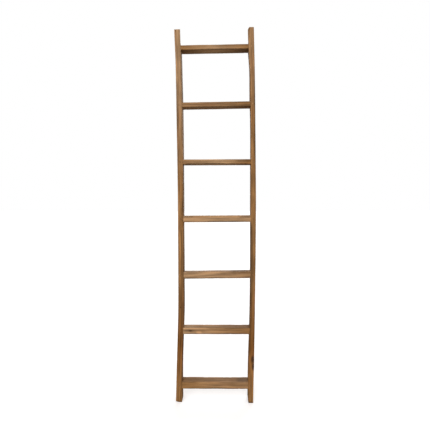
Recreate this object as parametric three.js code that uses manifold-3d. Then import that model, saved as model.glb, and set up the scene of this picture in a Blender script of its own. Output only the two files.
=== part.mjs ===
// A rustic ladder for hanging and airing things: two hand-sawn rails, seven rectangular rungs
// tenoned right through them, and a wooden peg driven through every joint.
// Millimetres. X runs across the ladder, the front faces -Y, and Z runs up from the feet,
// with the origin on the ground at the middle of the ladder's box.

import * as THREE from "three";
import { mergeVertices } from "three/addons/utils/BufferGeometryUtils.js";
import Module from "manifold-3d";

// Overall size and stock
const LADDER_HEIGHT = 2000;
const LADDER_WIDTH = 432.5; // over the bow of both rails
const RAIL_DEPTH = 66;
const RUNG_RECESS = 1; // every rung's front lies this far behind the rails' fronts
const RAIL_EDGE = 2.5; // worn long edges
const RUNG_EDGE = 2.5;
const FIT_GAP = 0.3; // between two pieces that touch

// Joints
const TENON_DEPTH = 30; // front to back, at the middle of the rail
const TENON_SHOULDER = 5; // the tenon is this much thinner than its rung, above and below
const TENON_EDGE = 1;
const PEG_DIAMETER = 8;
const PEG_RECESS = 0.2; // below the rail's face, front and back

// The rungs, from the lowest up. Each sits near an even pitch: shift is how far its middle is off
// it, height is its thickness, depth runs from front to back, and rise is how much higher it is on
// the right than on the left.
const FIRST_RUNG_LEVEL = 92.5;
const RUNG_PITCH = 302;
const RUNGS = [
  { shift: 0.5, height: 36, depth: 64, rise: 3 },
  { shift: -2.5, height: 35, depth: 56, rise: 2.5 },
  { shift: -1.5, height: 36, depth: 50, rise: 6.5 },
  { shift: -1.5, height: 34.5, depth: 60, rise: 2.5 },
  { shift: 0, height: 26.5, depth: 64, rise: 0 },
  { shift: 0.5, height: 25, depth: 62, rise: 4 },
  { shift: -3.5, height: 23.5, depth: 64, rise: 2.5 },
];

// Both rails bow to the right. A station is a height, how far the rail's outer edge lies inside
// the ladder's box there, and the rail's width there. A smooth curve runs through them.
const LEFT_STATIONS = [
  [0, 0, 34],
  [200, 6, 28.5],
  [500, 15, 29.5],
  [800, 16, 29],
  [1100, 16.5, 28.5],
  [1500, 12, 31],
  [1800, 8, 30],
  [LADDER_HEIGHT, 1, 31.5],
];
const RIGHT_STATIONS = [
  [0, 12.5, 28],
  [175, 9, 30],
  [500, 4, 25.5],
  [850, 0.3, 27],
  [1000, 0, 27.5],
  [1150, 0.3, 27.5],
  [1550, 4.5, 24.5],
  [1650, 5.5, 27],
  [1800, 8, 26],
  [1920, 11, 31.5],
  [LADDER_HEIGHT, 13, 32],
];
const LEFT_RAIL_TOP = 1994; // sawn a little shorter than the right rail

// Cut corners, [width, height]: the left foot is sawn a little out of square, so its outer corner
// clears the ground, and the right rail has lost its inner corner at both ends.
const LEFT_FOOT_CUT = [17, 4.5];
const RIGHT_FOOT_CUT = [3, 12];
const RIGHT_TOP_CUT = [7, 12];

// Above the top rung the back inner corner of each rail is hewn away, from just behind its front
// face to this far across its back.
const HEWN_WIDTH = { left: 9.5, right: 6 };
const HEWN_FRONT = -27;
const HEWN_FROM = 1914; // where the cut starts, from nothing
const HEWN_FULL = 1936;

// How finely the curves are cut
const EDGE_STEP = 50; // a rail's outline has a point at each multiple of this height
const ARC_SEGMENTS = 2;
const PEG_SIDES = 12;
const BEYOND = 10; // how far a cutting solid runs past what it cuts

const wasm = await Module();
wasm.setup();

function solidOf(geometry) {
  const bare = geometry.clone();
  bare.deleteAttribute("normal");
  bare.deleteAttribute("uv");
  const merged = mergeVertices(bare);
  return new wasm.Manifold(
    new wasm.Mesh({
      numProp: 3,
      vertProperties: new Float32Array(merged.attributes.position.array),
      triVerts: new Uint32Array(merged.index.array),
    }),
  );
}

function geometryOf(solid) {
  const mesh = solid.getMesh();
  const geometry = new THREE.BufferGeometry();
  geometry.setAttribute("position", new THREE.BufferAttribute(mesh.vertProperties, mesh.numProp));
  geometry.setIndex(new THREE.BufferAttribute(mesh.triVerts, 1));
  geometry.computeVertexNormals();
  return geometry;
}

// A solid with the given outline in the XZ plane, centred on Y = 0, with its edges eased.
function plate(outline, depth, eased = 0) {
  const geometry = new THREE.ExtrudeGeometry(new THREE.Shape(outline), {
    depth: depth - 2 * eased,
    bevelEnabled: eased > 0,
    bevelThickness: eased,
    bevelSize: eased,
    bevelOffset: -eased,
    bevelSegments: 1,
  });
  geometry.translate(0, 0, eased - depth / 2);
  geometry.rotateX(Math.PI / 2);
  return solidOf(geometry);
}

// The X of a rail's outer edge and of its inner edge, each as a function of height. side is -1 for
// the left rail and 1 for the right one.
function edgesOf(stations, side) {
  const heights = stations.map(([height]) => height);
  const values = stations.flatMap(([, inset, width]) => [inset, width]);
  const interpolant = new THREE.CubicInterpolant(heights, values, 2);
  const outer = (z) => side * (LADDER_WIDTH / 2 - interpolant.evaluate(z)[0]);
  const inner = (z) => outer(z) - side * interpolant.evaluate(z)[1];
  return { outer, inner };
}

// The points of one edge, from one height to another: both ends, and each multiple of the step
// between them, so that pieces cut along the same edge follow the same straight lines.
function edgePoints(xAt, from, to) {
  const low = Math.min(from, to);
  const high = Math.max(from, to);
  const heights = [low];
  for (let z = (Math.floor(low / EDGE_STEP) + 1) * EDGE_STEP; z < high; z += EDGE_STEP) {
    heights.push(z);
  }
  heights.push(high);
  if (from > to) {
    heights.reverse();
  }
  return heights.map((z) => new THREE.Vector2(xAt(z), z));
}

const left = edgesOf(LEFT_STATIONS, -1);
const right = edgesOf(RIGHT_STATIONS, 1);

function leftRailBlank() {
  const [footWidth, footHeight] = LEFT_FOOT_CUT;
  const outline = [
    new THREE.Vector2(left.outer(0) + footWidth, 0),
    ...edgePoints(left.inner, 0, LEFT_RAIL_TOP),
    ...edgePoints(left.outer, LEFT_RAIL_TOP, footHeight),
  ];
  return plate(outline, RAIL_DEPTH, RAIL_EDGE);
}

function rightRailBlank() {
  const [footWidth, footHeight] = RIGHT_FOOT_CUT;
  const [topWidth, topHeight] = RIGHT_TOP_CUT;
  const outline = [
    new THREE.Vector2(right.inner(0) + footWidth, 0),
    ...edgePoints(right.outer, 0, LADDER_HEIGHT),
    new THREE.Vector2(right.inner(LADDER_HEIGHT) + topWidth, LADDER_HEIGHT),
    ...edgePoints(right.inner, LADDER_HEIGHT - topHeight, footHeight),
  ];
  return plate(outline, RAIL_DEPTH, RAIL_EDGE);
}

// What is hewn away from one rail, as a solid that runs past the rail's top, side and back.
function hewnCorner(edges, side, width) {
  const back = RAIL_DEPTH / 2 + BEYOND;
  const reach = (width * (back - HEWN_FRONT)) / (RAIL_DEPTH / 2 - HEWN_FRONT);
  const section = (x, z, across) => [
    [x, HEWN_FRONT, z],
    [x + side * across, back, z],
    [x - side * BEYOND, back, z],
    [x - side * BEYOND, HEWN_FRONT, z],
  ];
  return wasm.Manifold.hull([
    ...section(edges.inner(HEWN_FROM), HEWN_FROM, 0),
    ...section(edges.inner(HEWN_FULL), HEWN_FULL, reach),
    ...section(edges.inner(LADDER_HEIGHT), LADDER_HEIGHT + BEYOND, reach),
  ]);
}

// Everything between two edges around one rung.
function spanBetween(leftX, rightX, level) {
  const below = (Math.floor(level / EDGE_STEP) - 1) * EDGE_STEP;
  const above = (Math.ceil(level / EDGE_STEP) + 1) * EDGE_STEP;
  const outline = [...edgePoints(leftX, above, below), ...edgePoints(rightX, below, above)];
  return plate(outline, RAIL_DEPTH + 2 * BEYOND);
}

function roundedSection(width, height, radius) {
  const x = width / 2 - radius;
  const y = height / 2 - radius;
  const section = new THREE.Shape();
  section.absarc(x, y, radius, 0, Math.PI / 2);
  section.absarc(-x, y, radius, Math.PI / 2, Math.PI);
  section.absarc(-x, -y, radius, Math.PI, Math.PI * 1.5);
  section.absarc(x, -y, radius, Math.PI * 1.5, Math.PI * 2);
  return section;
}

// A bar along X, longer than the ladder is wide, tilted to a rung's rise and set at its level.
function bar(depth, height, radius, rung, level, y = 0) {
  const length = LADDER_WIDTH + 2 * BEYOND;
  const geometry = new THREE.ExtrudeGeometry(roundedSection(height, depth, radius), {
    depth: length,
    bevelEnabled: false,
    curveSegments: ARC_SEGMENTS,
  });
  geometry.translate(0, 0, -length / 2);
  geometry.rotateY(Math.PI / 2);
  geometry.rotateY(-Math.atan2(rung.rise, LADDER_WIDTH));
  geometry.translate(0, y, level);
  return solidOf(geometry);
}

function tenonBar(rung, level, clearance) {
  const depth = TENON_DEPTH + 2 * clearance;
  const height = rung.height - 2 * TENON_SHOULDER + 2 * clearance;
  return bar(depth, height, TENON_EDGE + clearance, rung, level);
}

// A rung: its body up to the rails' inner edges, and its tenons through to the outer ones.
function rungBlank(rung, level) {
  const toShoulders = spanBetween(
    (z) => left.inner(z) + FIT_GAP,
    (z) => right.inner(z) - FIT_GAP,
    level,
  );
  const toEnds = spanBetween(
    (z) => left.outer(z) + FIT_GAP,
    (z) => right.outer(z) - FIT_GAP,
    level,
  );
  const y = (rung.depth - RAIL_DEPTH) / 2 + RUNG_RECESS;
  const body = bar(rung.depth, rung.height, RUNG_EDGE, rung, level, y).intersect(toShoulders);
  return body.add(tenonBar(rung, level, 0).intersect(toEnds));
}

// Where a joint's peg goes through: the middle of the rail, at the rung's own height there.
function pegPlace(edges, rung, level) {
  const x = (edges.outer(level) + edges.inner(level)) / 2;
  return new THREE.Vector3(x, 0, level + (rung.rise * x) / LADDER_WIDTH);
}

function pegRod(clearance, length) {
  const radius = PEG_DIAMETER / 2 + clearance;
  return new THREE.CylinderGeometry(radius, radius, length, PEG_SIDES);
}

function pegHole(place) {
  const rod = pegRod(FIT_GAP, RAIL_DEPTH + 2 * BEYOND);
  rod.translate(place.x, place.y, place.z);
  return solidOf(rod);
}

const railWood = new THREE.MeshStandardMaterial({ color: 0x8f6a42, roughness: 0.8, metalness: 0 });
const rungWood = new THREE.MeshStandardMaterial({ color: 0xa27d58, roughness: 0.8, metalness: 0 });
const pegWood = new THREE.MeshStandardMaterial({ color: 0x6f4a2c, roughness: 0.75, metalness: 0 });

const rails = new THREE.Group();
const rungs = new THREE.Group();
const pegs = new THREE.Group();

const railEdges = { left, right };
const railSolids = {
  left: leftRailBlank().subtract(hewnCorner(left, -1, HEWN_WIDTH.left)),
  right: rightRailBlank().subtract(hewnCorner(right, 1, HEWN_WIDTH.right)),
};

RUNGS.forEach((rung, index) => {
  const number = index + 1;
  const level = FIRST_RUNG_LEVEL + index * RUNG_PITCH + rung.shift;
  const mortise = tenonBar(rung, level, FIT_GAP);
  let rungSolid = rungBlank(rung, level);

  for (const side of ["left", "right"]) {
    const place = pegPlace(railEdges[side], rung, level);
    const hole = pegHole(place);
    railSolids[side] = railSolids[side].subtract(mortise).subtract(hole);
    rungSolid = rungSolid.subtract(hole);

    const peg = new THREE.Mesh(pegRod(0, RAIL_DEPTH - 2 * PEG_RECESS), pegWood);
    peg.name = `peg_${number}_${side}`;
    peg.position.copy(place);
    pegs.add(peg);
  }

  const mesh = new THREE.Mesh(geometryOf(rungSolid), rungWood);
  mesh.name = `rung_${number}`;
  rungs.add(mesh);
});

for (const [side, solid] of Object.entries(railSolids)) {
  const mesh = new THREE.Mesh(geometryOf(solid), railWood);
  mesh.name = `rail_${side}`;
  rails.add(mesh);
}

const ladder = new THREE.Group();
ladder.add(rails, rungs, pegs);

export default ladder;
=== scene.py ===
import math

import bpy
import numpy as np
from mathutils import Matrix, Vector
from mathutils.bvhtree import BVHTree


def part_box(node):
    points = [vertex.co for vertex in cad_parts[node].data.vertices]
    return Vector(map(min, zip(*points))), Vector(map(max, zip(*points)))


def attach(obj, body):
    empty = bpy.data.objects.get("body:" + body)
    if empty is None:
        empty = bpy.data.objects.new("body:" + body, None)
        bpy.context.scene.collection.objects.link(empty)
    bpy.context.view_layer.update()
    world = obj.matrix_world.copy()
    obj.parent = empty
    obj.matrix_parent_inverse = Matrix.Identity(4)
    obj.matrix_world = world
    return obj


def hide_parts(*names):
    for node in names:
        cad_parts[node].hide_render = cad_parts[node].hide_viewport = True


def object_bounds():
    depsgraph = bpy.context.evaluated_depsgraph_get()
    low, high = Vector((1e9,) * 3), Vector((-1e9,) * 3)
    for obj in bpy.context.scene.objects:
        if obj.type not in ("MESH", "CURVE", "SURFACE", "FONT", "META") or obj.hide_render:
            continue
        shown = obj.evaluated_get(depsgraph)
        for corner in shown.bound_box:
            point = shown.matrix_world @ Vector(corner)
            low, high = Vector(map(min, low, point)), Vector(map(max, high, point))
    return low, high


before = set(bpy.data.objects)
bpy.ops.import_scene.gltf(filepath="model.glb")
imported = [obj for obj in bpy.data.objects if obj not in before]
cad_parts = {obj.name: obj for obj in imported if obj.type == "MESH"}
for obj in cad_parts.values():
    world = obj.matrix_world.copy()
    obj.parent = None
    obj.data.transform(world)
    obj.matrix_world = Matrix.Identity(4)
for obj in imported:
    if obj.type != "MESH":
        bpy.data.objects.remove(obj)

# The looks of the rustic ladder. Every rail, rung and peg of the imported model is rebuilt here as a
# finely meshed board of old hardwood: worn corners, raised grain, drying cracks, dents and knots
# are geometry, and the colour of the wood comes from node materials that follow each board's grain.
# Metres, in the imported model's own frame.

cad_low, cad_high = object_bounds()

MM = 0.001
RUNG_COUNT = 7
SIDES = ("left", "right")


# ---------------------------------------------------------------- noise

class Noise:
    """Smooth seeded noise from -1 to 1 over points in space."""

    def __init__(self, seed):
        random = np.random.RandomState(seed)
        self.order = random.permutation(256)
        self.values = random.uniform(-1, 1, 256)

    def corner(self, x, y, z):
        order = self.order
        return self.values[order[(order[(order[x & 255] + y) & 255] + z) & 255]]

    def at(self, *point):
        cells = [np.floor(p).astype(int) for p in point]
        blend = [p - c for p, c in zip(point, cells)]
        blend = [b * b * b * (b * (b * 6 - 15) + 10) for b in blend]
        total = 0
        for corner in range(8):
            steps = [corner >> axis & 1 for axis in range(3)]
            weight = 1
            for b, step in zip(blend, steps):
                weight = weight * (b if step else 1 - b)
            total = total + weight * self.corner(*(c + s for c, s in zip(cells, steps)))
        return total


def smoothstep(x):
    x = np.clip(x, 0, 1)
    return x * x * (3 - 2 * x)


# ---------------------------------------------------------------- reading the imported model

def surface(node):
    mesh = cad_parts[node].data
    return BVHTree.FromPolygons([v.co for v in mesh.vertices], [p.vertices for p in mesh.polygons])


def first_hit(tree, origin, direction):
    hit = tree.ray_cast(Vector(origin), Vector(direction))[0]
    if hit is None:
        raise RuntimeError(f"nothing of the packed model lies along {direction} from {origin}")
    return hit


# ---------------------------------------------------------------- boards

LONG_SIDE_POINTS = 44   # across each face that is the board's depth
SHORT_SIDE_POINTS = 23
CORNER_POINTS = 5
CAP_RINGS = 7
END_ROUNDING = 1.2 * MM  # of the arris round a sawn end
CRACK_REACH = 7 * MM    # how deep below its face a crack still darkens the wood
STREAK_DEPTH = 9 * MM   # and a streak
STREAK_FADE = 50 * MM   # the length over which a streak comes and goes
FACES = {"front": (1, -1), "back": (1, 1), "low": (0, -1), "high": (0, 1)}


class Board:
    """A length of wood in its own coordinates: u along it, v across it and w through its depth.

    Each station along u has a section from v_low to v_high and w_low to w_high. place(u, v, w) maps
    board coordinates into the frame, and find(points) maps them back."""

    def __init__(self, seed, u, v_low, v_high, w_low, w_high, corner, wave, relief=1,
                 mirrored=False):
        """corner is the worn rounding of the long edges, wave is how far the faces stray from flat
        in mm, and relief says how much of the wear they have. mirrored is for a board whose axes
        make a left-handed set in the frame."""
        self.random = np.random.RandomState(seed)
        self.noise = Noise(seed)
        self.u = np.asarray(u, float)
        spread = np.ones_like(self.u)
        self.v_low = v_low * spread
        self.v_high = v_high * spread
        self.w_low = w_low * spread
        self.w_high = w_high * spread
        self.corner = corner * spread
        self.wave = wave
        self.relief = relief * spread
        self.mirrored = mirrored
        self.cracks = []
        self.dents = []
        self.knots = []
        self.streaks = []

    # What marks the wood

    def add_crack(self, face, across, start, end, width, depth, open_end=None):
        self.cracks.append((face, across, start, end, width, depth, open_end))

    def add_random_cracks(self, count, start, end):
        for _ in range(count):
            face = self.random.choice(list(FACES))
            across = self.random.uniform(-0.8, 0.8)
            length = self.random.uniform(0.05, 0.22)
            begin = self.random.uniform(start, max(start, end - length))
            width = self.random.uniform(0.9, 1.7) * MM
            self.add_crack(face, across, begin, begin + length, width, 2.2 * width)

    def add_end_checks(self, count, at, towards):
        """Cracks that open at a sawn end and close towards the middle of the board."""
        for _ in range(count):
            face = self.random.choice(list(FACES))
            across = self.random.uniform(-0.7, 0.7)
            length = self.random.uniform(0.03, 0.11)
            width = self.random.uniform(1.2, 2.2) * MM
            ends = sorted((at, at + towards * length))
            self.add_crack(face, across, *ends, width, 2 * width, open_end=at)

    def add_dents(self, count, start, end):
        for _ in range(count):
            face = self.random.choice(list(FACES))
            across = self.random.uniform(-0.95, 0.95)
            along = self.random.uniform(start, end)
            radius = self.random.uniform(2.5, 7) * MM
            depth = self.random.uniform(0.25, 0.9) * MM
            self.dents.append((face, across, along, radius, depth))

    def add_knot(self, face, across, along, radius, stretch=1.7, lift=0.5 * MM):
        """A knot drawn out along the grain by stretch, that stands up by lift."""
        self.knots.append((face, across, along, radius, stretch, lift))

    def add_streak(self, face, across, half_width, start, end, change):
        """A stripe along the grain, that much lighter (or darker, below zero) than the rest: a streak
        in the wood, or painted shade.
        """
        self.streaks.append((face, across, half_width, start, end, change))

    # Places on the board

    def section(self, u):
        names = ("v_low", "v_high", "w_low", "w_high")
        return [np.interp(u, self.u, getattr(self, name)) for name in names]

    def on_face(self, face, across, u, v, w):
        """For points of the board: how far they lie below that face, and how far from the line that
        runs along it at the given share of its half width."""
        axis, side = FACES[face]
        v_low, v_high, w_low, w_high = self.section(u)
        if axis == 1:
            below = (w_high - w) if side > 0 else (w - w_low)
            middle, half, lateral = (v_low + v_high) / 2, (v_high - v_low) / 2, v
        else:
            below = (v_high - v) if side > 0 else (v - v_low)
            middle, half, lateral = (w_low + w_high) / 2, (w_high - w_low) / 2, w
        return below, lateral - middle - across * half

    def crack_fields(self, u, v, w):
        """Yields for each crack how open it is at each point (0 to 1), its face and its depth."""
        for number, (face, across, start, end, width, depth, open_end) in enumerate(self.cracks):
            below, aside = self.on_face(face, across, u, v, w)
            wander = self.noise.at(u / (45 * MM), u * 0 + number * 7.3, u * 0) * 1.8 * MM
            share = np.clip((u - start) / (end - start), 0, 1)
            if open_end is None:
                opening = np.sqrt(np.sin(np.pi * share))
            else:
                opening = np.sqrt(1 - share if open_end <= start else share)
            opening = opening * ((u >= start) & (u <= end))
            half_width = np.maximum(width * opening / 2, 1e-6)
            near = np.clip(1.6 - np.abs(aside - wander) / half_width, 0, 1)
            yield near * (below < CRACK_REACH) * opening, face, depth

    def knot_shares(self, u, v, w):
        """For each knot, each point's distance from it in knot radii, stretched along the grain."""
        for face, across, along, radius, stretch, lift in self.knots:
            below, aside = self.on_face(face, across, u, v, w)
            far = np.sqrt(((u - along) / (stretch * radius)) ** 2 + (aside / radius) ** 2
                          + (below / (3 * radius)) ** 2)
            yield far, aside, radius, lift, face

    def hollows(self, u, v, w):
        """How far the worn surface lies below the sawn one."""
        noise = self.noise
        wave = noise.at(u / (160 * MM), v / (35 * MM), w / (35 * MM))
        grain = noise.at(u / (90 * MM), v / (3.4 * MM), w / (3.4 * MM))
        fibre = noise.at(u / (30 * MM) + 9, v / (1.7 * MM), w / (1.7 * MM))
        depth = (0.08 + self.wave * wave + 0.15 * grain + 0.07 * fibre) * MM
        for face, across, along, radius, deep in self.dents:
            below, aside = self.on_face(face, across, u, v, w)
            far = ((u - along) / (1.6 * radius)) ** 2 + (aside / radius) ** 2
            depth = depth + deep * np.exp(-1.5 * far) * (below < 2 * MM)
        for far, _, _, lift, _ in self.knot_shares(u, v, w):
            depth = depth - lift * np.exp(-1.2 * far ** 2)
        return depth

    def cracked(self, u, v, w, normal_v, normal_w):
        """How deep the cracks cut at points whose faces look along the given section normals."""
        depth = 0
        for near, face, deep in self.crack_fields(u, v, w):
            axis, side = FACES[face]
            facing = (normal_w if axis == 1 else normal_v) * side
            depth = np.maximum(depth, near * deep * (facing > 0.7))
        return depth

    def worn_radii(self):
        """The rounding of the four corners at every station: worn unevenly, with a few chips."""
        radii = []
        for number in range(4):
            zero = self.u * 0
            slow = self.noise.at(self.u / (70 * MM), zero + 3.1 * number, zero + 50)
            quick = self.noise.at(self.u / (16 * MM), zero + 3.1 * number, zero + 60)
            chips = np.maximum(quick - 0.45, 0) * 5 * MM
            radii.append(self.corner * (1.05 + 0.45 * slow) + chips)
        limit = 0.45 * np.minimum(self.v_high - self.v_low, self.w_high - self.w_low)
        return np.minimum(np.array(radii), limit)

    # The mesh

    def ring(self):
        """Points and outward normals of every station's section, each as (stations, points, 2)."""
        radii = self.worn_radii()
        turns = np.linspace(0, np.pi / 2, CORNER_POINTS)
        bends = [(1, 1, 0), (-1, 1, 1), (-1, -1, 2), (1, -1, 3)]
        arcs = []
        for (v_side, w_side, quarter), radius in zip(bends, radii):
            v_edge = self.v_high if v_side > 0 else self.v_low
            w_edge = self.w_high if w_side > 0 else self.w_low
            middle = np.stack([v_edge - v_side * radius, w_edge - w_side * radius], -1)
            angle = turns + quarter * np.pi / 2
            normal = np.stack([np.cos(angle), np.sin(angle)], -1)
            points = middle[:, None] + radius[:, None, None] * normal
            arcs.append((points, np.broadcast_to(normal, points.shape)))
        points, normals = [], []
        for quarter, (arc, facing) in enumerate(arcs):
            points.append(arc)
            normals.append(facing)
            start, end = arc[:, -1], arcs[(quarter + 1) % 4][0][:, 0]
            count = SHORT_SIDE_POINTS if quarter % 2 == 0 else LONG_SIDE_POINTS
            share = (np.arange(1, count + 1) / (count + 1))[:, None]
            side = start[:, None] * (1 - share) + end[:, None] * share
            points.append(side)
            normals.append(np.broadcast_to(facing[:, -1:], side.shape))
        return np.concatenate(points, 1), np.concatenate(normals, 1)

    def build(self, place):
        """The board as mesh vertices in the frame, and its faces."""
        points, normals = self.ring()
        stations, count = points.shape[:2]
        u = np.repeat(self.u[:, None], count, 1)
        v, w = points[..., 0], points[..., 1]
        depth = self.hollows(u, v, w) * self.relief[:, None]
        depth = depth + self.cracked(u, v, w, normals[..., 0], normals[..., 1])
        to_end = np.minimum(self.u - self.u[0], self.u[-1] - self.u)[:, None]
        short = np.clip(END_ROUNDING - to_end, 0, None)
        depth = depth + END_ROUNDING - np.sqrt(END_ROUNDING ** 2 - short ** 2)
        v = v - normals[..., 0] * depth
        w = w - normals[..., 1] * depth

        rows = [np.stack([u, v, w], -1).reshape(-1, 3)]
        faces = self.strips(stations, count)
        for end, inward in ((0, 1), (stations - 1, -1)):
            middle_v = (self.v_low[end] + self.v_high[end]) / 2
            middle_w = (self.w_low[end] + self.w_high[end]) / 2
            cap, cap_faces = self.cap(u[end], v[end], w[end], middle_v, middle_w, inward,
                                      sum(map(len, rows)), end * count)
            rows.append(cap)
            faces += cap_faces
        if self.mirrored:
            faces = [face[::-1] for face in faces]
        return place(np.concatenate(rows)), faces

    def strips(self, rings, count):
        index = np.arange(rings * count).reshape(rings, count)
        following = np.roll(index, -1, 1)
        quads = np.stack([index[:-1], following[:-1], following[1:], index[1:]], -1)
        return quads.reshape(-1, 4).tolist()

    def cap(self, u, v, w, middle_v, middle_w, inward, first, edge):
        """The sawn face at one end, as shrinking rings round its middle."""
        count = len(v)
        rows = []
        for ring in range(1, CAP_RINGS + 1):
            share = 1 - ring / (CAP_RINGS + 1)
            ring_v = middle_v + (v - middle_v) * share
            ring_w = middle_w + (w - middle_w) * share
            rough = self.noise.at(ring_v / (2.5 * MM), ring_w / (2.5 * MM), ring_v * 0 + 77)
            rows.append(np.stack([u + inward * rough * 0.15 * MM, ring_v, ring_w], -1))
        centre = np.array([[u.mean(), middle_v, middle_w]])
        index = np.concatenate([[edge + np.arange(count)],
                                first + np.arange(CAP_RINGS * count).reshape(CAP_RINGS, count)])
        following = np.roll(index, -1, 1)
        quads = np.stack([index[1:], following[1:], following[:-1], index[:-1]], -1)
        last, after = index[-1], following[-1]
        tip = first + CAP_RINGS * count
        fan = np.stack([np.full(count, tip), after, last], -1)
        if inward < 0:
            quads, fan = quads[..., ::-1], fan[..., ::-1]
        return np.concatenate([*rows, centre]), quads.reshape(-1, 4).tolist() + fan.tolist()

    def paint(self, mesh, find):
        """Stores what the wood material reads: the grain's own coordinates, how worn each place is,
        how dark cracks and knots make it, where end grain shows, and the streaks, some of them
        painted shade."""
        points = np.empty(len(mesh.vertices) * 3)
        mesh.vertices.foreach_get("co", points)
        u, v, w = find(points.reshape(-1, 3)).T
        v_low, v_high, w_low, w_high = self.section(u)
        to_v = np.minimum(v - v_low, v_high - v)
        to_w = np.minimum(w - w_low, w_high - w)
        wear = np.exp(-np.maximum(to_v + to_w, 0) / (3.5 * MM))
        dark = np.zeros_like(u)
        for near, _, _ in self.crack_fields(u, v, w):
            dark = np.maximum(dark, near)
        grain_v, grain_w = v.copy(), w.copy()
        knot = np.zeros_like(u)
        for far, aside, radius, _, face in self.knot_shares(u, v, w):
            push = np.exp(-far ** 2 / 3) * radius * 0.9 * np.tanh(aside / radius * 2)
            if FACES[face][0] == 1:
                grain_v -= push
            else:
                grain_w -= push
            knot = np.maximum(knot, 1 - smoothstep((far - 0.45) / 0.75))
        shade = np.zeros_like(u)
        for number, (face, across, half_width, start, end, change) in enumerate(self.streaks):
            below, aside = self.on_face(face, across, u, v, w)
            wander = self.noise.at(u / (70 * MM), u * 0 + 5.7 * number, u * 0 + 30)
            aside = np.abs(aside + wander * half_width * 0.35) / half_width
            reach = min(STREAK_FADE, (end - start) / 3)
            fade = smoothstep((u - start) / reach) * smoothstep((end - u) / reach)
            stripe = 1 - smoothstep(aside - 0.5)
            shade += change * fade * stripe * np.exp(-(below / STREAK_DEPTH) ** 2)
        length = self.u[-1] - self.u[0]
        end = np.maximum(self.u[0] + 0.8 * MM - u, u - self.u[-1] + 0.8 * MM) / (0.8 * MM)
        values = {
            "wear": wear,
            "dark": dark,
            "knot": knot,
            "end_grain": np.clip(end, 0, 1),
            "along": (u - self.u[0]) / length,
            "shade": shade,
        }
        for name, value in values.items():
            mesh.attributes.new(name, "FLOAT", "POINT").data.foreach_set("value", value)
        grain = np.stack([u, grain_v, grain_w], -1).ravel()
        mesh.attributes.new("grain", "FLOAT_VECTOR", "POINT").data.foreach_set("vector", grain)


def new_mesh(name, points, faces):
    mesh = bpy.data.meshes.new(name)
    mesh.from_pydata(points.tolist(), [], faces)
    mesh.validate()
    mesh.update()
    return mesh


def new_object(name, mesh):
    piece = bpy.data.objects.new(name, mesh)
    bpy.context.scene.collection.objects.link(piece)
    return piece


def cut(piece, cutters):
    """Takes the cutters' solids out of the piece for good, and removes the cutters."""
    for cutter in cutters:
        modifier = piece.modifiers.new("cut", "BOOLEAN")
        modifier.operation = "DIFFERENCE"
        modifier.solver = "MANIFOLD"
        modifier.object = cutter
    evaluated = piece.evaluated_get(bpy.context.evaluated_depsgraph_get())
    mesh = bpy.data.meshes.new_from_object(evaluated)
    piece.modifiers.clear()
    old = piece.data
    piece.data = mesh
    bpy.data.meshes.remove(old)
    for cutter in cutters:
        bpy.data.objects.remove(cutter)


def finish_piece(piece, node, material):
    piece.data.materials.clear()
    piece.data.materials.append(material)
    piece.data.shade_smooth()
    piece.data.set_sharp_from_angle(angle=math.radians(50))
    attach(piece, "root")
    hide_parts(node)


# ---------------------------------------------------------------- the shapes of rails and rungs

STATION_STEP = 3.5 * MM
END_STATIONS = np.array([0, 0.35, 1.2, 2.4, 4, 6]) * MM
FACE_Y = -0.028         # a depth where a ray misses the tenons, their mortises and the hewn corners
SMOOTHING = 0.07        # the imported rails' straight steps are blended over this height
TRUE_ENDS = 0.03        # but not this near the ends, where corners are cut
EVEN_POINTS = 1200      # evenly spaced heights that the blending works on
TENON_CORNER = 0.8 * MM
TENON_RELIEF = 0.15     # a tenon is freshly cut, and hardly worn


def stations_between(low, high):
    middle = np.arange(low + END_STATIONS[-1], high - END_STATIONS[-1], STATION_STEP)
    return np.concatenate([low + END_STATIONS[:-1], middle, (high - END_STATIONS)[::-1]])


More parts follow.
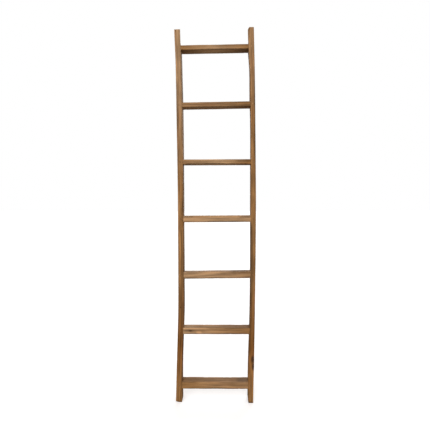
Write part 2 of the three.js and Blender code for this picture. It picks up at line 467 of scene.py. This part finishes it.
class Rail:
    """A rail's outline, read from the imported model, with its centre line smoothed. Near its top its
    inner face slants, from full width at the front to a narrower back."""

    def __init__(self, side):
        self.node = f"rail_{side}"
        self.inward = 1 if side == "left" else -1
        low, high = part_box(self.node)
        tree = surface(self.node)
        heights = stations_between(low.z, high.z)
        safe = np.clip(heights, low.z + 0.05 * MM, high.z - 0.05 * MM)
        left = [first_hit(tree, (-1, FACE_Y, z), (1, 0, 0)).x for z in safe]
        right = [first_hit(tree, (1, FACE_Y, z), (-1, 0, 0)).x for z in safe]
        front_inner = right if side == "left" else left
        back_inner = [first_hit(tree, (self.inward, -FACE_Y, z), (-self.inward, 0, 0)).x
                      for z in safe]
        self.heights = heights
        self.hewn = np.abs(np.array(front_inner) - back_inner)
        self.left = self.smoothed(np.array(left))
        self.right = self.smoothed(np.array(right))
        main = (heights > low.z + TRUE_ENDS) & (heights < high.z - TRUE_ENDS)
        self.centre_heights = heights[main]
        self.centres = ((self.left + self.right) / 2)[main]
        self.depths = (low.y, high.y)

    def smoothed(self, values):
        heights = self.heights
        even = np.linspace(heights[0], heights[-1], EVEN_POINTS)
        width = int(SMOOTHING / (even[1] - even[0])) // 2 * 2 + 1
        padded = np.pad(np.interp(even, heights, values), width // 2, mode="reflect",
                        reflect_type="odd")
        window = np.hanning(width + 2)[1:-1]
        soft = np.interp(heights, even, np.convolve(padded, window / window.sum(), "valid"))
        from_end = np.minimum(heights - heights[0], heights[-1] - heights)
        return values + (soft - values) * smoothstep((from_end - TRUE_ENDS) / TRUE_ENDS)

    def centre(self, z):
        return np.interp(z, self.centre_heights, self.centres)

    def board(self, seed, corner):
        middle = self.centre(self.heights)
        return Board(seed, self.heights, self.left - middle, self.right - middle, *self.depths,
                     corner, wave=0.35)

    def slant(self, u, w):
        """The outer edge's X at each point, and the share of the width that is left there."""
        outer = self.left if self.inward > 0 else self.right
        hewn = np.interp(u, self.heights, self.hewn / np.abs(self.right - self.left))
        share = 1 - hewn * np.clip((w - FACE_Y) / (-2 * FACE_Y), 0, None)
        return np.interp(u, self.heights, outer), share

    def place(self, board):
        u, v, w = board.T
        outer, share = self.slant(u, w)
        return np.stack([outer + (v + self.centre(u) - outer) * share, w, u], -1)

    def find(self, points):
        x, y, z = points.T
        outer, share = self.slant(z, y)
        return np.stack([z, outer + (x - outer) / share - self.centre(z), y], -1)


class Rung:
    """A rung's lines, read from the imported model: its body between shoulders, and its tenons."""

    def __init__(self, number):
        self.node = f"rung_{number}"
        self.low, self.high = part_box(self.node)
        tree = surface(self.node)
        reach = 0.12
        tops = [first_hit(tree, (x, 0, 3), (0, 0, -1)).z for x in (-reach, reach)]
        bottoms = [first_hit(tree, (x, 0, -1), (0, 0, 1)).z for x in (-reach, reach)]
        middles = (np.array(tops) + bottoms) / 2
        self.slope = (middles[1] - middles[0]) / (2 * reach)
        self.level = middles.mean()
        self.half_height = (tops[0] - bottoms[0]) / 2
        self.ends = (self.low.x, self.high.x)
        # The tenon's size, felt 8 mm in from the left end; both tenons take it.
        near_end = self.low.x + 8 * MM
        tenon_top = first_hit(tree, (near_end, 0, 3), (0, 0, -1)).z
        self.tenon_half_height = tenon_top - self.line(near_end)
        start = (near_end, -1, self.line(near_end))
        self.tenon_half_depth = abs(first_hit(tree, start, (0, 1, 0)).y)
        # Each shoulder follows the rail's inner edge, so it leans a little.
        self.shoulders = []
        probe = self.half_height * 0.6
        for end, direction in zip((-1, 1), (1, -1)):
            x = [first_hit(tree, (end, FACE_Y, self.level + side * probe), (direction, 0, 0)).x
                 for side in (-1, 1)]
            self.shoulders.append((sum(x) / 2, (x[1] - x[0]) / (2 * probe)))

    def line(self, x):
        return self.level + self.slope * x

    def stations(self):
        """u of every station, from one tenon's end to the other, and whether it is on the body."""
        (left, _), (right, _) = self.shoulders
        tenon = np.array([0, 0.35, 1.2, 4, 10, 17]) * MM
        body = stations_between(left, right)
        parts = [self.ends[0] + tenon, [left], body, [right], (self.ends[1] - tenon)[::-1]]
        flags = [False, False, True, False, False]
        u = np.concatenate(parts)
        in_body = np.concatenate([np.full(len(part), flag) for part, flag in zip(parts, flags)])
        return u, in_body

    def board(self, seed, corner):
        u, in_body = self.stations()
        half_height = np.where(in_body, self.half_height, self.tenon_half_height)
        front = np.where(in_body, self.low.y, -self.tenon_half_depth)
        back = np.where(in_body, self.high.y, self.tenon_half_depth)
        return Board(seed, u, -half_height, half_height, front, back,
                     corner=np.where(in_body, corner, TENON_CORNER), wave=0.15,
                     relief=np.where(in_body, 1, TENON_RELIEF), mirrored=True)

    def lean(self, u, v):
        """How far the shoulders' lean moves a point along the rung: all of it at a shoulder."""
        reach = 0.025
        total = 0
        for x, slope in self.shoulders:
            total = total + slope * v * smoothstep(1 - np.abs(u - x) / reach)
        return total

    def place(self, board):
        u, v, w = board.T
        x = u + self.lean(u, v)
        return np.stack([x, w, self.line(x) + v], -1)

    def find(self, points):
        x, y, z = points.T
        v = z - self.line(x)
        return np.stack([x - self.lean(x, v), v, y], -1)


# ---------------------------------------------------------------- joints and pegs

MORTISE_GAP = 0.35 * MM
PEG_GAP = 0.15 * MM
PEG_SIDES = 28
PEG_DOME = 0.7 * MM
CUTTER_OVERRUN = 6 * MM


def mortise_cutter(rung, side):
    """A bar a little larger than the rung's tenon, through one rail."""
    (left, _), (right, _) = rung.shoulders
    if side == "left":
        span = (rung.ends[0] - CUTTER_OVERRUN, left + CUTTER_OVERRUN)
    else:
        span = (right - CUTTER_OVERRUN, rung.ends[1] + CUTTER_OVERRUN)
    half_height = rung.tenon_half_height + MORTISE_GAP
    half_depth = rung.tenon_half_depth + MORTISE_GAP
    points = np.array([(x, y, rung.line(x) + z) for x in span
                       for y in (-half_depth, half_depth) for z in (-half_height, half_height)])
    faces = [(0, 1, 3, 2), (4, 6, 7, 5), (0, 4, 5, 1), (2, 3, 7, 6), (0, 2, 6, 4), (1, 5, 7, 3)]
    return new_object("mortise_cutter", new_mesh("mortise_cutter", points, faces))


class Peg:
    def __init__(self, number, side):
        self.node = f"peg_{number}_{side}"
        low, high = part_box(self.node)
        self.middle = (low + high) / 2
        self.radius = (high.x - low.x) / 2
        self.front, self.back = low.y, high.y
        self.noise = Noise(900 + 10 * number + len(side))

    def rings(self, radii, depths):
        """Round sections along Y, closed at both ends by a point."""
        turns = np.arange(PEG_SIDES) * 2 * np.pi / PEG_SIDES
        rows = []
        for radius, y in zip(radii, depths):
            spread = radius * (1 + 0.05 * self.noise.at(np.cos(turns) * 1.6, np.sin(turns) * 1.6,
                                                        turns * 0 + y * 20))
            rows.append(np.stack([self.middle.x + spread * np.cos(turns), turns * 0 + y,
                                  self.middle.z + spread * np.sin(turns)], -1))
        count = len(rows) * PEG_SIDES
        index = np.arange(count).reshape(len(rows), PEG_SIDES)
        following = np.roll(index, -1, 1)
        quads = np.stack([index[:-1], index[1:], following[1:], following[:-1]], -1)
        faces = quads.reshape(-1, 4).tolist()
        faces += np.stack([np.full(PEG_SIDES, count), index[0], following[0]], -1).tolist()
        faces += np.stack([np.full(PEG_SIDES, count + 1), following[-1], index[-1]], -1).tolist()
        tips = [[(self.middle.x, depths[end], self.middle.z)] for end in (0, -1)]
        return np.concatenate(rows + tips), faces

    def cutter(self):
        ys = (self.front - CUTTER_OVERRUN, self.back + CUTTER_OVERRUN)
        radius = self.radius + PEG_GAP
        turns = np.arange(PEG_SIDES) * 2 * np.pi / PEG_SIDES
        points = np.array([(self.middle.x + radius * math.cos(t), y,
                            self.middle.z + radius * math.sin(t)) for y in ys for t in turns])
        near = list(range(PEG_SIDES))
        far = [PEG_SIDES + i for i in near]
        after = near[1:] + near[:1]
        sides = [(i, PEG_SIDES + i, PEG_SIDES + j, j) for i, j in zip(near, after)]
        return new_object("peg_cutter", new_mesh("peg_cutter", points, [near, far[::-1], *sides]))

    def build(self):
        """A whittled peg with its ends pared to a low dome."""
        dome = np.linspace(0, 1, 5)[1:]
        shrink = np.sqrt(1 - (1 - dome) ** 2)
        inner_depths = np.linspace(self.front + PEG_DOME, self.back - PEG_DOME, 9)[1:-1]
        radii = self.radius * np.concatenate([shrink, np.ones(7), shrink[::-1]])
        depths = np.concatenate([self.front + PEG_DOME * dome ** 2, inner_depths,
                                 (self.back - PEG_DOME * dome ** 2)[::-1]])
        depths[0] = self.front + 0.1 * MM
        depths[-1] = self.back - 0.1 * MM
        points, faces = self.rings(radii, depths)
        return new_object(f"{self.node}_wood", new_mesh(f"{self.node}_wood", points, faces))

    def paint(self, mesh):
        points = np.empty(len(mesh.vertices) * 3)
        mesh.vertices.foreach_get("co", points)
        points = points.reshape(-1, 3) - self.middle
        x, y, z = points.T
        near_edge = np.clip(np.hypot(x, z) / self.radius, 0, 1) ** 4
        at_end = np.abs(y) > (self.back - self.front) / 2 - 2 * PEG_DOME
        values = {"wear": near_edge * at_end * 0.5, "dark": x * 0, "knot": x * 0,
                  "end_grain": at_end * 1.0, "along": x * 0 + self.middle.z / cad_high.z,
                  "shade": x * 0}
        for name, value in values.items():
            mesh.attributes.new(name, "FLOAT", "POINT").data.foreach_set("value", value)
        grain = np.stack([y, x + self.middle.z, z], -1).ravel()
        mesh.attributes.new("grain", "FLOAT_VECTOR", "POINT").data.foreach_set("vector", grain)


# ---------------------------------------------------------------- the wood material

def linear(red, green, blue):
    """A colour given as it looks on a screen, 0 to 255, as the shader's linear values."""
    def one(value):
        value /= 255
        return value / 12.92 if value <= 0.04045 else ((value + 0.055) / 1.055) ** 2.4
    return (one(red), one(green), one(blue), 1)


class Nodes:
    """Short names for making and joining shader nodes."""

    def __init__(self, name):
        self.material = bpy.data.materials.new(name)
        self.material.use_nodes = True
        self.tree = self.material.node_tree
        self.shader = next(n for n in self.tree.nodes if n.type == "BSDF_PRINCIPLED")

    def new(self, kind, **settings):
        node = self.tree.nodes.new(kind)
        for name, value in settings.items():
            setattr(node, name, value)
        return node

    def put(self, socket, value):
        if isinstance(value, bpy.types.NodeSocket):
            self.tree.links.new(value, socket)
        else:
            socket.default_value = value

    def attribute(self, name):
        node = self.new("ShaderNodeAttribute", attribute_name=name)
        return node.outputs["Vector" if name == "grain" else "Fac"]

    def math(self, operation, first, second=0.0, third=0.0):
        node = self.new("ShaderNodeMath", operation=operation)
        for socket, value in zip(node.inputs, (first, second, third)):
            self.put(socket, value)
        return node.outputs[0]

    def vector(self, operation, first, second):
        node = self.new("ShaderNodeVectorMath", operation=operation)
        self.put(node.inputs[0], first)
        self.put(node.inputs["Scale"] if operation == "SCALE" else node.inputs[1], second)
        return node.outputs[0]

    def noise(self, vector, stretch, detail=2.0, roughness=0.55):
        """Noise from 0 to 1 over the board's own coordinates, stretched differently along them."""
        node = self.new("ShaderNodeTexNoise", noise_dimensions="3D")
        self.put(node.inputs["Vector"], self.vector("MULTIPLY", vector, stretch))
        self.put(node.inputs["Scale"], 1.0)
        self.put(node.inputs["Detail"], detail)
        self.put(node.inputs["Roughness"], roughness)
        return node.outputs["Fac"]

    def spread(self, value, low, high, to_low=0.0, to_high=1.0):
        node = self.new("ShaderNodeMapRange", interpolation_type="SMOOTHSTEP")
        for name, number in zip(("From Min", "From Max", "To Min", "To Max"),
                                (low, high, to_low, to_high)):
            self.put(node.inputs[name], number)
        self.put(node.inputs["Value"], value)
        return node.outputs[0]

    def ramp(self, value, stops):
        node = self.new("ShaderNodeValToRGB")
        points = node.color_ramp.elements
        while len(points) < len(stops):
            points.new(0.5)
        for point, (place, colour) in zip(points, stops):
            point.position = place
            point.color = colour
        self.put(node.inputs[0], value)
        return node.outputs[0]

    def mix(self, share, first, second, blend="MIX"):
        node = self.new("ShaderNodeMix", data_type="RGBA", blend_type=blend)
        self.put(node.inputs["Factor"], share)
        self.put(node.inputs[6], first)
        self.put(node.inputs[7], second)
        return node.outputs[2]


def wood(name, tones, offset, pith, streak=0.30, knot_colour=(62, 38, 20)):
    """Old dry hardwood. tones are the wood's colours from the start of the board to its end, offset
    moves it to its own part of the pattern, and pith is where its growth rings are centred."""
    n = Nodes(name)
    grain = n.vector("ADD", n.attribute("grain"), (offset, offset * 0.37, offset * 0.71))
    plain_grain = n.attribute("grain")

    # Growth rings round a wandering pith: wide figure on the faces, arcs on the sawn ends.
    wander = n.noise(grain, (2.2, 14, 14), detail=2.0)
    across = n.vector("MULTIPLY", n.vector("SUBTRACT", plain_grain, (0, *pith)), (0.02, 1, 1))
    distance = n.new("ShaderNodeVectorMath", operation="LENGTH")
    n.put(distance.inputs[0], across)
    bent = n.math("MULTIPLY_ADD", wander, 0.016, distance.outputs["Value"])
    rings = n.math("SINE", n.math("MULTIPLY", bent, 2 * math.pi / 0.0042))
    rings = n.spread(rings, -0.9, 1.0)

    broad = n.noise(grain, (5, 95, 95), detail=2.0)
    fine = n.noise(grain, (16, 420, 420), detail=3.0)
    pores = n.spread(n.noise(grain, (110, 1900, 1900), detail=1.0), 0.60, 0.72)
    patches = n.noise(grain, (9, 26, 26), detail=2.0)

    # Light and dark, about 1 on average
    value = n.math("MULTIPLY_ADD", n.spread(broad, 0.3, 0.7), 2 * streak, 1 - streak)
    value = n.math("MULTIPLY", value, n.math("MULTIPLY_ADD", n.spread(fine, 0.3, 0.7), 0.22, 0.89))
    value = n.math("MULTIPLY", value, n.math("MULTIPLY_ADD", rings, -0.14, 1.07))
    value = n.math("MULTIPLY", value, n.math("MULTIPLY_ADD", pores, -0.30, 1.02))
    patchy = n.math("MULTIPLY_ADD", n.spread(patches, 0.3, 0.7), 0.24, 0.88)
    value = n.math("MULTIPLY", value, patchy)

    # Streaks make the wood lighter or darker; some are painted shade on the rails' inner faces and
    # along the lower rungs' bottom edges.
    shade = n.math("MULTIPLY", n.attribute("shade"), n.spread(fine, 0.25, 0.75, 0.6, 1.4))
    value = n.math("MULTIPLY", value, n.math("ADD", shade, 1))

    base = n.ramp(n.attribute("along"), [(place, linear(*tone)) for place, tone in tones])
    colour = n.vector("SCALE", base, value)

    # Some streaks are redder and some greyer than the rest.
    warm = n.spread(n.noise(grain, (7, 60, 60), detail=1.0), 0.55, 0.75, 0, 0.45)
    grey = n.spread(n.noise(grain, (11, 33, 33), detail=2.0), 0.56, 0.75, 0, 0.28)
    colour = n.mix(warm, colour, n.mix(1.0, colour, (1.12, 0.93, 0.78, 1), "MULTIPLY"))
    colour = n.mix(grey, colour, n.mix(1.0, colour, (0.99, 1.01, 1.09, 1), "MULTIPLY"))

    # Rubbed corners are paler, knots, cracks and sawn ends darker.
    rubbed = n.math("MULTIPLY", n.attribute("wear"), n.spread(patches, 0.35, 0.65, 0.1, 0.6))
    colour = n.mix(rubbed, colour, n.mix(1.0, colour, (1.13, 1.12, 1.10, 1), "MULTIPLY"))
    knot = n.math("MULTIPLY", n.attribute("knot"), n.spread(fine, 0.2, 0.6, 0.75, 1.0))
    colour = n.mix(n.math("MULTIPLY", knot, 0.95), colour, linear(*knot_colour))
    end = n.math("MULTIPLY", n.attribute("end_grain"), 0.8)
    colour = n.mix(end, colour, n.mix(1.0, colour, (0.66, 0.60, 0.54, 1), "MULTIPLY"))
    colour = n.mix(n.math("MULTIPLY", n.attribute("dark"), 0.82), colour, linear(38, 24, 14))
    n.put(n.shader.inputs["Base Color"], colour)

    rough = n.math("MULTIPLY_ADD", fine, 0.22, 0.66)
    rough = n.math("MULTIPLY_ADD", n.attribute("wear"), -0.10, rough)
    n.put(n.shader.inputs["Roughness"], rough)
    n.shader.inputs["Specular IOR Level"].default_value = 0.15

    height = n.math("MULTIPLY_ADD", fine, 0.55, n.math("MULTIPLY", pores, -0.6))
    height = n.math("MULTIPLY_ADD", rings, 0.25, height)
    saw = n.noise(grain, (900, 40, 40), detail=1.0)
    height = n.math("MULTIPLY_ADD", saw, 0.18, height)
    bump = n.new("ShaderNodeBump")
    n.put(bump.inputs["Height"], height)
    bump.inputs["Distance"].default_value = 0.35 * MM
    bump.inputs["Strength"].default_value = 0.5
    n.put(n.shader.inputs["Normal"], bump.outputs["Normal"])
    return n.material


# ---------------------------------------------------------------- the pieces

# The wood's tones, as display colours from 0 to 255
SAND = (180, 145, 108)
PALE = (158, 126, 94)
TAN = (146, 112, 78)
HONEY = (140, 102, 62)
BROWN = (126, 92, 56)
RUSSET = (112, 72, 32)

# Each board's seed, ring centre off its middle, and tones from its start to its end (rails from the
# foot up, rungs from left to right).
RAILS = {
    "left": dict(seed=11, pith=(0.031, 0.012), tones=[
        (0.02, HONEY), (0.15, RUSSET), (0.35, BROWN), (0.45, HONEY), (0.6, HONEY), (0.7, TAN),
        (0.9, PALE),
    ]),
    "right": dict(seed=23, pith=(-0.024, -0.02), tones=[
        (0.02, HONEY), (0.15, RUSSET), (0.35, BROWN), (0.6, HONEY), (0.75, BROWN), (0.9, TAN),
    ]),
}
RUNGS = {
    1: dict(seed=31, pith=(0.02, -0.03), tones=[(0.1, BROWN), (0.5, TAN)]),
    2: dict(seed=32, pith=(-0.012, 0.026), tones=[(0.1, PALE), (0.5, TAN), (0.9, BROWN)]),
    3: dict(seed=33, pith=(0.045, 0.01), tones=[(0.5, PALE), (0.9, TAN)]),
    4: dict(seed=34, pith=(0.008, -0.04), tones=[(0.1, PALE), (0.9, PALE)]),
    5: dict(seed=35, pith=(-0.03, 0.004), tones=[(0.1, TAN), (0.5, SAND), (0.9, BROWN)]),
    6: dict(seed=36, pith=(0.015, 0.022), tones=[(0.5, TAN), (0.9, BROWN)]),
    7: dict(seed=37, pith=(-0.02, -0.016), tones=[(0.1, BROWN), (0.5, PALE), (0.9, BROWN)]),
}
PEG_TONES = [(0.05, TAN), (0.2, BROWN), (0.5, TAN), (1, SAND)]
RAIL_CORNER = 2.4 * MM
RUNG_CORNER = 2.6 * MM

rungs = {number: Rung(number) for number in range(1, RUNG_COUNT + 1)}
pegs = {(number, side): Peg(number, side) for number in rungs for side in SIDES}


# The boards' main marks: streaks as (face, across, half width in mm, start, end, change) and knots
# as (face, across, along, radius in mm, stretch). Along a rail is its height, along a rung is X. Some
# streaks are painted shade, as marked beside them.
WHOLE_FACE = 40
# The front of each rail is darker at its very foot, fading out within the lowest few centimetres.
FOOT_DARK_BAND = ("front", 0, WHOLE_FACE, -0.03, 0.015, -0.35)
RAIL_STREAKS = {
    "left": [
        FOOT_DARK_BAND,
        ("front", -0.8, 4, 0.20, 0.40, -0.35),
        ("front", -0.6, 5, 0.45, 1.10, 0.20),
        ("front", 0.45, 6, 0.40, 1.05, -0.20),
        ("front", -0.55, 7, 1.45, 1.75, -0.35),
        ("front", 0.55, 5, 1.65, 1.85, 0.20),
        # Painted shade: the inner face is darker between the rungs, below the ones near 1.3 m and 1.9
        # m.
        ("high", 0, WHOLE_FACE, 1.00, 1.30, -0.40),
        ("high", 0, WHOLE_FACE, 1.60, 1.90, -0.25),
    ],
    "right": [
        FOOT_DARK_BAND,
        ("front", -0.7, 5, 0.25, 1.00, -0.35),
        ("front", 0.1, 5, 0.45, 1.00, 0.20),
        ("front", 0, 4, 1.10, 1.45, 0.20),
        # Partly painted shade on the rounded outer edge, partly a dark streak of grain.
        ("front", 0.85, 5, 1.30, 1.75, -0.45),
        # Painted shade: the inner face is darker at the foot and from 0.4 to 1 m up.
        ("low", 0, WHOLE_FACE, -0.05, 0.10, -0.60),
        ("low", 0, WHOLE_FACE, 0.40, 1.00, -0.25),
    ],
}
RAIL_KNOTS = {
    "left": [("low", 0.25, 1.18, 6, 1.7), ("front", -0.1, 0.52, 3.5, 1.7)],
    "right": [
        ("front", 0.6, 0.24, 13, 1.8),
        ("front", 0.75, 0.20, 9, 2.6),
        ("high", -0.5, 0.24, 10, 2),
    ],
}
# The lower rungs get painted shade along the bottom edge of their fronts, where the rounded arris
# turns down from the light.
SHADED_EDGE_RUNGS = (1, 2, 3, 4, 5)
RUNG_EDGE_SHADE = ("front", -1, 5, -0.19, 0.20, -0.60)
RUNG_STREAKS = {
    1: [("high", 0.2, 24, 0.10, 0.20, -0.40)],
    2: [("front", 0.15, 4, -0.18, -0.10, -0.30), ("front", -0.45, 6, -0.11, -0.07, 0.50)],
    3: [("high", 0, WHOLE_FACE, 0.06, 0.20, -0.40)],
    4: [("front", 0.7, 4, 0.12, 0.20, -0.30)],
    5: [("front", -0.4, 3, -0.14, -0.02, -0.20), ("front", 0.25, 7, 0.10, 0.20, -0.25)],
    6: [("front", 0.1, 3, -0.09, 0.06, -0.20)],
    7: [("front", 0.4, 3, -0.03, 0.10, -0.20)],
}
RUNG_KNOTS = {2: [("front", 0.1, -0.135, 5, 2.2)], 5: [("high", 0.2, 0.075, 6, 1.7)]}


def mark(board, streaks, knots):
    for face, across, half_width, start, end, change in streaks:
        board.add_streak(face, across, half_width * MM, start, end, change)
    for face, across, along, radius, stretch in knots:
        board.add_knot(face, across, along, radius * MM, stretch)


def mark_rail(board, side):
    low, high = board.u[0], board.u[-1]
    board.add_random_cracks(9, low + 0.1, high - 0.1)
    board.add_end_checks(3, low, 1)
    board.add_end_checks(3, high, -1)
    board.add_dents(40, low, high)
    mark(board, RAIL_STREAKS[side], RAIL_KNOTS[side])


def mark_rung(board, number):
    (left, _), (right, _) = rungs[number].shoulders
    board.add_random_cracks(2, left + 0.02, right - 0.02)
    board.add_dents(10, left, right)
    # Painted shade along the bottom edge of the lower rungs' fronts.
    edge_shade = [RUNG_EDGE_SHADE] if number in SHADED_EDGE_RUNGS else []
    mark(board, RUNG_STREAKS[number] + edge_shade, RUNG_KNOTS.get(number, []))


for side in SIDES:
    look = RAILS[side]
    rail = Rail(side)
    board = rail.board(look["seed"], RAIL_CORNER)
    mark_rail(board, side)
    piece = new_object(f"{rail.node}_wood", new_mesh(f"{rail.node}_wood", *board.build(rail.place)))
    mortises = [mortise_cutter(rung, side) for rung in rungs.values()]
    cut(piece, mortises + [pegs[number, side].cutter() for number in rungs])
    board.paint(piece.data, rail.find)
    material = wood(f"{rail.node}_wood", look["tones"], look["seed"] * 1.7, look["pith"])
    finish_piece(piece, rail.node, material)

for number, rung in rungs.items():
    look = RUNGS[number]
    board = rung.board(look["seed"], RUNG_CORNER)
    mark_rung(board, number)
    piece = new_object(f"{rung.node}_wood", new_mesh(f"{rung.node}_wood", *board.build(rung.place)))
    cut(piece, [pegs[number, side].cutter() for side in SIDES])
    board.paint(piece.data, rung.find)
    material = wood(f"{rung.node}_wood", look["tones"], look["seed"] * 1.7, look["pith"])
    finish_piece(piece, rung.node, material)

peg_material = wood("peg_wood", PEG_TONES, 3.3, (0.010, 0.006))
for peg in pegs.values():
    piece = peg.build()
    peg.paint(piece.data)
    finish_piece(piece, peg.node, peg_material)


# ---------------------------------------------------------------- floor, light and camera

# The camera sees a white floor and background, which light the ladder less than white ones would.
FLOOR_SEEN = (0.86, 0.86, 0.87, 1)
FLOOR_BOUNCE = (0.42, 0.40, 0.37, 1)
FLOOR_GLOW_SEEN = (0.38, 0.39, 0.41, 1)
BLACK = (0, 0, 0, 1)
SKY_SEEN = (1, 1, 1, 1)
SKY_LIGHT = (0.41, 0.38, 0.34, 1)
KEY_COLOUR = (0.87, 0.86, 0.84)
BACK_COLOUR = (1.0, 0.97, 0.94)
LIGHT_SPREAD = 50       # degrees of sky that each light covers
FLOOR_REACH = 40        # from the origin to each side of the floor


def soft_light(name, turn, height, strength, colour):
    """A broad, even light from a direction: turn from straight in front, and height, in degrees."""
    lamp = bpy.data.lights.new(name, "SUN")
    lamp.energy = strength
    lamp.color = colour
    lamp.angle = math.radians(LIGHT_SPREAD)
    light = bpy.data.objects.new(name, lamp)
    light.rotation_euler = (math.radians(90 - height), 0, math.radians(turn))
    bpy.context.scene.collection.objects.link(light)


def seen_or_not(tree, hidden, seen):
    """A colour that is seen for the camera's own rays, and hidden for light that bounces."""
    path = tree.nodes.new("ShaderNodeLightPath")
    choice = tree.nodes.new("ShaderNodeMix")
    choice.data_type = "RGBA"
    choice.inputs[6].default_value = hidden
    choice.inputs[7].default_value = seen
    tree.links.new(path.outputs["Is Camera Ray"], choice.inputs["Factor"])
    return choice.outputs[2]


def make_floor():
    corners = ((-1, -1, 0), (1, -1, 0), (1, 1, 0), (-1, 1, 0))
    points = np.array(corners) * FLOOR_REACH
    floor = new_object("floor", new_mesh("floor", points, [(0, 1, 2, 3)]))
    n = Nodes("floor")
    n.put(n.shader.inputs["Base Color"], seen_or_not(n.tree, FLOOR_BOUNCE, FLOOR_SEEN))
    n.put(n.shader.inputs["Emission Color"], seen_or_not(n.tree, BLACK, FLOOR_GLOW_SEEN))
    n.shader.inputs["Emission Strength"].default_value = 1.0
    n.shader.inputs["Roughness"].default_value = 0.9
    n.shader.inputs["Specular IOR Level"].default_value = 0.1
    floor.data.materials.append(n.material)


def make_world():
    world = bpy.data.worlds.new("studio")
    world.use_nodes = True
    tree = world.node_tree
    background = next(n for n in tree.nodes if n.type == "BACKGROUND")
    tree.links.new(seen_or_not(tree, SKY_LIGHT, SKY_SEEN), background.inputs["Color"])
    background.inputs["Strength"].default_value = 1.0
    bpy.context.scene.world = world


make_floor()
make_world()
soft_light("key", -8, 25, 2.8, KEY_COLOUR)
soft_light("back", 172, 15, 2.0, BACK_COLOUR)

scene = bpy.context.scene
scene.view_settings.view_transform = "Standard"
scene.view_settings.look = "None"

# The camera stands a little right of the middle and looks slightly down and to the left. Its
# angles are in degrees, and its lens and sensor in millimetres.
CAMERA_ACROSS = 0.0535
CAMERA_DISTANCE = 1.987  # from the ladder's front
CAMERA_HEIGHT = 1.0887
CAMERA_TURN = 1.58
CAMERA_DOWN = 2.035
CAMERA_ROLL = 0.09
LENS = 31.27
SENSOR_WIDTH = 36
CAMERA_REACH = 60
camera = bpy.data.cameras.new("camera")
camera.sensor_width = SENSOR_WIDTH
camera.lens = LENS
camera.clip_end = CAMERA_REACH
view = bpy.data.objects.new("camera", camera)
view.location = (CAMERA_ACROSS, cad_low.y - CAMERA_DISTANCE, CAMERA_HEIGHT)
view.rotation_euler = [math.radians(a) for a in (90 - CAMERA_DOWN, CAMERA_ROLL, CAMERA_TURN)]
scene.collection.objects.link(view)
scene.camera = view
